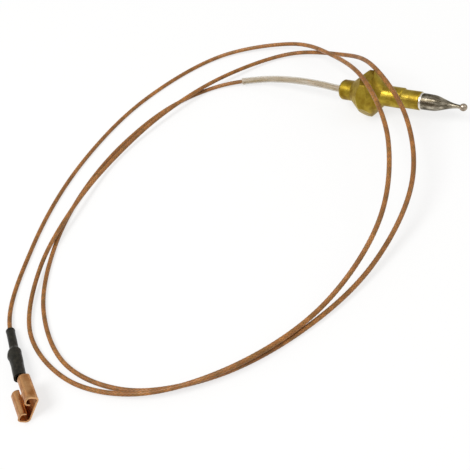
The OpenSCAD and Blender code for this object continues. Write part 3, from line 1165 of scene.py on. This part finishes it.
@dataclass
class Terminal:
    """The push-on terminal: one strip with two crimps, a channel and a rolled socket."""

    route: LeadRoute
    strip: float = 0.0004
    wire_gap: float = 0.00003
    lead_diameter: float = 0.0011
    core_diameter: float = 0.00056
    braid_crimp_at: float = 0.008
    braid_crimp_length: float = 0.0024
    core_crimp_at: float = 0.0117
    core_crimp_length: float = 0.003
    socket_at: float = 0.0184
    socket_length: float = 0.0084
    socket_width: float = 0.00726
    socket_heading: float = math.radians(-29.5)
    socket_lean: float = math.radians(43)
    wing_height: float = 0.0027
    wing_flat: float = 0.0006
    wing_roll: float = 0.00095
    wings_from: float = 0.0009
    slot_height: float = 0.00088
    neck_width: float = 0.0014
    edge_rounding: float = 0.00006
    crimp_bell: float = 0.05
    ear_curl: float = 0.10
    spine_degrees: float = 50
    tongue_power: float = 1.6
    lip_room: float = 0.00004
    overlap: float = 0.0002
    ear_degrees: float = 176
    channel_bend: float = math.radians(95)
    floor_bend: float = math.radians(4)
    dimple_share: float = 0.52
    dimple_radius: float = 0.0009
    dimple_height: float = 0.00022
    mouth_from: float = 0.86
    rear_to: float = 0.08
    mouth_lift: float = 0.00022
    corner_trim: float = 0.00035

    def __post_init__(self) -> None:
        """Works out the two frames that the terminal is built in."""
        tail = self.route.stops[-1]
        self.crimp_frame = (Matrix.Translation(tail)
                            @ Matrix.Rotation(self.route.tail_heading, 4, "Z")
                            @ Matrix.Rotation(-self.route.tail_pitch, 4, "Y"))
        drop = Vector((0, 0, -self.lead_diameter / 2 - self.strip))
        self.socket_frame = (Matrix.Translation(tail + self.route.tail_way * self.socket_at)
                             @ Matrix.Rotation(self.socket_heading, 4, "Z")
                             @ Matrix.Rotation(self.socket_lean, 4, "X")
                             @ Matrix.Translation(drop))

    def wing_line(self) -> list[tuple[float, float]]:
        """The outer line of half the socket's section, from the floor's middle to the curl's lip.

        Returns:
            Points of [across, up].
        """
        out = self.socket_width / 2
        roll, top = self.wing_roll, self.wing_height
        far, near = out - roll, out - roll - self.wing_flat
        line = [(far * i / 6, 0.0) for i in range(6)]
        for centre, start in (((far, roll), -90), ((far, top - roll), 0), ((near, top - roll), 90)):
            for degrees in range(start, start + 91, 15):
                angle = math.radians(degrees)
                line.append((centre[0] + roll * math.cos(angle),
                             centre[1] + roll * math.sin(angle)))
        line.append((near - roll, self.strip + self.slot_height + self.lip_room))
        return line

    def socket(self, bm: bmesh.types.BMesh) -> None:
        """Rolls the socket's blank into its floor and two wings.

        Args:
            bm: The shape that it is added to.
        """
        half = self.wing_line()
        line = [(-y, z) for y, z in reversed(half[1:])] + half

        def place(across: float, along: float) -> Vector:
            """Puts a point of the blank on the section, with its mouth eased and its corners cut.

            Args:
                across: The share across the blank.
                along: The share along the blank.

            Returns:
                Where it goes.
            """
            y, z = line[round(across * (len(line) - 1))]
            x = self.wings_from + (self.socket_length - self.wings_from) * along
            mouth = max(0.0, (along - self.mouth_from) / (1 - self.mouth_from))**2
            rear = max(0.0, (self.rear_to - along) / self.rear_to)**2
            lift = self.mouth_lift * mouth * min(1.0, z / self.wing_height)
            trim = self.corner_trim * (mouth + rear) * max(0.0, z / self.wing_height - 0.3)
            dent = math.hypot(x - self.socket_length * self.dimple_share, y) / self.dimple_radius
            raised = self.dimple_height * (1 - dent**2)**2 if dent < 1 and z < 1e-6 else 0.0
            end = 1 if along > 0.5 else -1
            return self.socket_frame @ Vector((x - end * trim, y * (1 + 0.02 * mouth),
                                               z + lift + raised))

        formed_sheet(bm, len(line) - 1, 28, place)
        far = self.socket_width / 2 - self.wing_roll

        def tongue(across: float, along: float) -> Vector:
            """Widens the floor from the channel to the wings.

            Args:
                across: The share across the blank.
                along: The share along the blank.

            Returns:
                Where the point goes.
            """
            reach = self.neck_width / 2 + (far - self.neck_width / 2) * along**self.tongue_power
            return self.socket_frame @ Vector((self.wings_from * along,
                                               reach * (2 * across - 1), 0))

        formed_sheet(bm, 12, 6, tongue)

    def neck(self, bm: bmesh.types.BMesh) -> None:
        """Forms the channel that runs from the second crimp to the socket's floor.

        Args:
            bm: The shape that it is added to.
        """
        start = self.core_crimp_at + self.core_crimp_length - self.overlap
        radius = self.core_diameter / 2 + self.wire_gap + self.strip
        flat_end = self.socket_frame @ Vector((0, 0, 0))
        round_end = self.crimp_frame @ Vector((start, 0, -radius))
        (flat_side, flat_up), (round_side, round_up) = (
            [(frame.to_3x3() @ Vector(axis)).normalized() for axis in ((0, 1, 0), (0, 0, 1))]
            for frame in (self.socket_frame, self.crimp_frame))

        def place(across: float, along: float) -> Vector:
            """Opens the channel from the crimp's round to the floor's flat.

            Args:
                across: The share across the blank.
                along: The share along the blank.

            Returns:
                Where the point goes.
            """
            ease = smooth(0, 1, along)
            base = round_end.lerp(flat_end, ease * 0.4 + along * 0.6)
            side = round_side.lerp(flat_side, ease).normalized()
            up = round_up.lerp(flat_up, ease).normalized()
            bend = self.channel_bend * (1 - ease) + self.floor_bend * ease
            width = radius * self.channel_bend * (1 - ease) + self.neck_width / 2 * ease
            angle = bend * (2 * across - 1)
            curve = width / bend
            return base + side * curve * math.sin(angle) + up * curve * (1 - math.cos(angle))

        formed_sheet(bm, 12, 18, place)

    def crimp(self, bm: bmesh.types.BMesh, start: float, length: float, bore: float) -> None:
        """Closes a crimp round a wire, its two ears meeting on top and curling in.

        Args:
            bm: The shape that it is added to.
            start: Where it starts along the crimps' line.
            length: Its length.
            bore: The radius that it closes to.
        """
        radius = bore + self.strip

        def place(across: float, along: float) -> Vector:
            """Bends the blank round the wire, with its ears curled in and its ends belled.

            Args:
                across: The share across the blank.
                along: The share along the blank.

            Returns:
                Where the point goes.
            """
            angle = math.radians(-90 + self.ear_degrees * (2 * across - 1))
            ear = max(0.0, abs(2 * across - 1) - 0.8) / 0.2
            bell = 1 + self.crimp_bell * (2 * along - 1)**4
            reach = radius * bell * (1 - self.ear_curl * ear)
            return self.crimp_frame @ Vector((start + length * along, reach * math.cos(angle),
                                              reach * math.sin(angle)))

        formed_sheet(bm, 32, 8, place)

    def spine(self, bm: bmesh.types.BMesh) -> None:
        """Forms the strip that joins the two crimps under the wire.

        Args:
            bm: The shape that it is added to.
        """
        start = self.braid_crimp_at + self.braid_crimp_length - self.overlap / 2
        wide = self.lead_diameter / 2 + self.wire_gap + self.strip
        slim = self.core_diameter / 2 + self.wire_gap + self.strip

        def place(across: float, along: float) -> Vector:
            """Lays the strip under the wire, from the wide crimp's round to the slim one's.

            Args:
                across: The share across the blank.
                along: The share along the blank.

            Returns:
                Where the point goes.
            """
            radius = wide + (slim - wide) * along
            angle = math.radians(-90 + self.spine_degrees * (2 * across - 1))
            x = start + (self.core_crimp_at + self.overlap - start) * along
            return self.crimp_frame @ Vector((x, radius * math.cos(angle),
                                              radius * math.sin(angle)))

        formed_sheet(bm, 10, 6, place)

    def stamping(self) -> bpy.types.Object:
        """Builds the whole terminal from one strip: crimps, channel, floor and rolled wings.

        Returns:
            The terminal.
        """
        whole = bmesh.new()
        whole.loops.layers.uv.new("UVMap")
        makers = (self.socket, self.neck, self.spine,
                  lambda bm: self.crimp(bm, self.braid_crimp_at, self.braid_crimp_length,
                                        self.lead_diameter / 2 + self.wire_gap),
                  lambda bm: self.crimp(bm, self.core_crimp_at, self.core_crimp_length,
                                        self.core_diameter / 2 + self.wire_gap))
        for make in makers:
            bm = bmesh.new()
            bm.loops.layers.uv.new("UVMap")
            make(bm)
            bmesh.ops.remove_doubles(bm, verts=bm.verts[:], dist=5e-6)
            thicken(bm, self.strip)
            soften(bm, self.edge_rounding, 50)
            part = bpy.data.meshes.new("part")
            bm.to_mesh(part)
            bm.free()
            whole.from_mesh(part)
            bpy.data.meshes.remove(part)
        finish = Metal("pressed_strip", (0.70, 0.37, 0.16), (0.40, 0.155, 0.042),
                       (0.90, 0.60, 0.33), 0.32, patch_size=0.0026).make()
        return finished_piece("push_on_terminal", whole, finish, 40, Slot.STRIP, "spade_terminal")


@dataclass
class BlackSleeve:
    """The shrunk sleeve over the terminal's two crimps."""

    terminal: Terminal
    length: float = 0.0168
    wall: float = 0.00044
    thin_radius: float = 0.001025
    thin_length: float = 0.0072
    wide_radius: float = 0.0015
    rise_before: float = 0.0006
    rise_after: float = 0.0009
    slim_from: float = 0.0112
    slim_to: float = 0.0128
    slimming: float = 0.16
    lip_at: float = 0.00035
    lip_width: float = 0.0003
    lip_swell: float = 0.07
    rim_length: float = 0.0002
    rim_shrink: float = 0.16
    bulge: float = 0.00025
    bulge_length: float = 0.0011
    bulge_angle: float = math.radians(12)
    fold_depth: float = 0.012
    fine_fold_depth: float = 0.008
    step: float = 0.0002
    sides: int = 48

    def shrunk(self) -> bpy.types.Object:
        """Builds the shrunk sleeve: thin on the lead, lumpy where it covers the crimps.

        Returns:
            The sleeve.
        """
        crimps, route = self.terminal, self.terminal.route
        start = route.stops[-1]
        path = Path(even_steps([start, start + route.tail_way * self.length], self.step))
        bulge_at = crimps.braid_crimp_at + crimps.braid_crimp_length / 2

        def radius(around: float, along: float) -> float:
            """Follows the lead, the two crimps, the rolled lip and the small folds.

            Args:
                around: The share round the tube.
                along: The share along the tube.

            Returns:
                The radius there.
            """
            x = along * self.length
            wide = smooth(self.thin_length - self.rise_before,
                          self.thin_length + self.rise_after, x)
            wide *= 1 - self.slimming * smooth(self.slim_from, self.slim_to, x)
            body = self.thin_radius + (self.wide_radius - self.thin_radius) * wide
            lip = self.lip_swell * math.exp(-((x - self.lip_at) / self.lip_width)**2)
            lip -= self.rim_shrink * max(0, 1 - x / self.rim_length)
            lump = math.exp(-((x - bulge_at) / self.bulge_length)**2)
            ear = max(0.0, math.cos(FULL_TURN * around - self.bulge_angle))**2
            folds = self.fold_depth * math.sin(FULL_TURN * 5 * around + 9 * along)
            folds += self.fine_fold_depth * math.sin(FULL_TURN * 11 * around - 25 * along)
            return body * (1 + lip + folds) + self.bulge * lump * (1.5 * ear - 0.1)

        bm = tube(path, self.sides, len(path.points) - 1, radius)
        thicken(bm, self.wall)
        return finished_piece("black_sleeve", bm, ShrunkTube("shrink_tube").make(), 50,
                              Slot.SHRINK, "shrink_sleeve")


# ---- what stays as it was cut ----


@dataclass
class InnerParts:
    """The CAD pieces inside the head, which keep their shape and get their finishes."""

    finishes: tuple[tuple[str, Metal | Ceramic], ...] = (
        ("alloy_wire", Metal("drawn_alloy", (0.62, 0.60, 0.56), (0.42, 0.40, 0.37),
                             (0.80, 0.79, 0.76), 0.34, Grain.DRAWN)),
        ("joint_crimp", Metal("pressed_copper", (0.72, 0.36, 0.20), (0.45, 0.20, 0.10),
                              (0.88, 0.55, 0.38), 0.38)),
        ("probe_liner", Ceramic("woven_liner", (0.80, 0.77, 0.68), (0.58, 0.52, 0.42))),
        ("probe_cement", Ceramic("dry_cement", (0.66, 0.62, 0.54), (0.45, 0.41, 0.35))),
        ("joint_jacket", Ceramic("woven_jacket", (0.84, 0.81, 0.74), (0.64, 0.57, 0.46))),
    )

    def dress(self, nodes: dict[str, bpy.types.Object]) -> None:
        """Gives each inner CAD piece its finish.

        Args:
            nodes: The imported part's pieces by name.
        """
        for name, finish in self.finishes:
            mesh = nodes[name].data
            mesh.materials.clear()
            mesh.materials.append(finish.make())
            LOG.info("%s: CAD piece, finish %s", name, finish.name)


# ---- camera, light and floor ----


@dataclass
class Studio:
    """The viewpoint, a pale floor and soft light from all round."""

    target: Spot = (-0.0216, -0.0469, 0.0)
    azimuth: float = math.radians(53.4)
    elevation: float = math.radians(45.0)
    roll: float = math.radians(27.1)
    distance: float = 0.188
    lens: float = 61.3
    floor_size: float = 6.0
    floor_glow: float = 0.72
    floor_tone: Colour = (0.86, 0.86, 0.86)
    sky_tone: Colour = (1.0, 0.985, 0.955)
    sky_strength: float = 0.55
    sensor_width: float = 36.0
    nearest_seen: float = 0.005

    def camera(self) -> None:
        """Places the camera at its azimuth, elevation and roll, looking at its target."""
        level = Vector((math.cos(self.azimuth), math.sin(self.azimuth), 0))
        forward = Vector((-math.sin(self.azimuth) * math.cos(self.elevation),
                          math.cos(self.azimuth) * math.cos(self.elevation),
                          -math.sin(self.elevation)))
        upright = level.cross(forward)
        right = level * math.cos(self.roll) - upright * math.sin(self.roll)
        up = upright * math.cos(self.roll) + level * math.sin(self.roll)
        data = bpy.data.cameras.new("camera")
        data.lens = self.lens
        data.sensor_width = self.sensor_width
        data.clip_start = self.nearest_seen
        camera = bpy.data.objects.new("camera", data)
        spot = Vector(self.target) - forward * self.distance
        camera.matrix_world = Matrix.Translation(spot) @ Matrix(
            (right, up, -forward)).transposed().to_4x4()
        bpy.context.scene.collection.objects.link(camera)
        bpy.context.scene.camera = camera

    def lamp(self, name: str, place: Spot, size: float, power: float) -> None:
        """Adds a square soft light that faces the target.

        Args:
            name: Its name.
            place: Where it is.
            size: The length of its side.
            power: Its power in watts.
        """
        data = bpy.data.lights.new(name, "AREA")
        data.size = size
        data.energy = power
        light = bpy.data.objects.new(name, data)
        aim = Vector(self.target) - Vector(place)
        light.matrix_world = (Matrix.Translation(place)
                              @ aim.to_track_quat("-Z", "Y").to_matrix().to_4x4())
        bpy.context.scene.collection.objects.link(light)

    def nodes(self, owner: bpy.types.ID, *kinds: str) -> list[bpy.types.Node]:
        """Clears a material's or world's node tree and fills it.

        Args:
            owner: The material or world.
            *kinds: The types of its new nodes, without the word that they all start with.

        Returns:
            The nodes.
        """
        owner.use_nodes = True
        owner.node_tree.nodes.clear()
        return [owner.node_tree.nodes.new("ShaderNode" + kind) for kind in kinds]

    def world(self) -> None:
        """Lights the object from a pale sky that the camera sees as plain white."""
        world = bpy.data.worlds.new("studio")
        output, sky, seen, switch, rays = self.nodes(
            world, "OutputWorld", "Background", "Background", "MixShader", "LightPath")
        sky.inputs["Color"].default_value = (*self.sky_tone, 1)
        sky.inputs["Strength"].default_value = self.sky_strength
        seen.inputs["Color"].default_value = (1, 1, 1, 1)
        for source, target in ((rays.outputs["Is Camera Ray"], switch.inputs["Fac"]),
                               (sky.outputs[0], switch.inputs[1]),
                               (seen.outputs[0], switch.inputs[2]),
                               (switch.outputs[0], output.inputs["Surface"])):
            world.node_tree.links.new(source, target)
        bpy.context.scene.world = world

    def floor(self) -> None:
        """Lays a white floor that keeps a faint shadow of the object."""
        bm = bmesh.new()
        bmesh.ops.create_grid(bm, x_segments=1, y_segments=1, size=self.floor_size / 2)
        material = bpy.data.materials.new("floor")
        output, matt, glow, mix, rays, seen, through, share = self.nodes(
            material, "OutputMaterial", "BsdfDiffuse", "Emission", "MixShader", "LightPath",
            "Math", "Math", "Math")
        seen.operation = "MAXIMUM"
        through.operation = "MAXIMUM"
        share.operation = "MULTIPLY"
        share.inputs[1].default_value = self.floor_glow
        matt.inputs["Color"].default_value = (*self.floor_tone, 1)
        for source, target in ((rays.outputs["Is Camera Ray"], seen.inputs[0]),
                               (rays.outputs["Is Glossy Ray"], seen.inputs[1]),
                               (seen.outputs[0], through.inputs[0]),
                               (rays.outputs["Is Transmission Ray"], through.inputs[1]),
                               (through.outputs[0], share.inputs[0]),
                               (share.outputs[0], mix.inputs["Fac"]),
                               (matt.outputs[0], mix.inputs[1]),
                               (glow.outputs[0], mix.inputs[2]),
                               (mix.outputs[0], output.inputs["Surface"])):
            material.node_tree.links.new(source, target)
        placed_object("floor", bm, material)

    def set_up(self) -> None:
        """Builds the camera, lights, world and floor."""
        self.camera()
        self.world()
        self.floor()
        self.lamp("key", (-0.25, -0.35, 0.75), 0.5, 5.0)
        self.lamp("fill", (0.55, 0.25, 0.45), 0.4, 0.8)
        bpy.context.scene.view_settings.view_transform = "Standard"


def report(piece: bpy.types.Object) -> bpy.types.Object:
    """Logs a finished piece and hands it back."""
    LOG.info("%s: %d points", piece.name, len(piece.data.vertices))
    return piece


def main() -> None:
    """Builds the studio, the lead and every piece, and logs each piece's number of points."""
    logging.basicConfig(level=logging.INFO, format="%(message)s")
    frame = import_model()
    Studio().set_up()
    route = LeadRoute()
    lead = Lead(route)
    braid = report(lead.braid())
    on_lead = [report(make()) for make in (lead.core, lead.pale_sleeve, lead.frayed_fibres)]
    head = Head()
    for make in (head.brass, head.probe, head.braze, head.bead):
        report(make())
    terminal = Terminal(route)
    on_lead += [report(make()) for make in (BlackSleeve(terminal).shrunk, terminal.stamping)]
    InnerParts().dress(frame["nodes"])
    lead.declare()


if __name__ == "__main__":
    main()
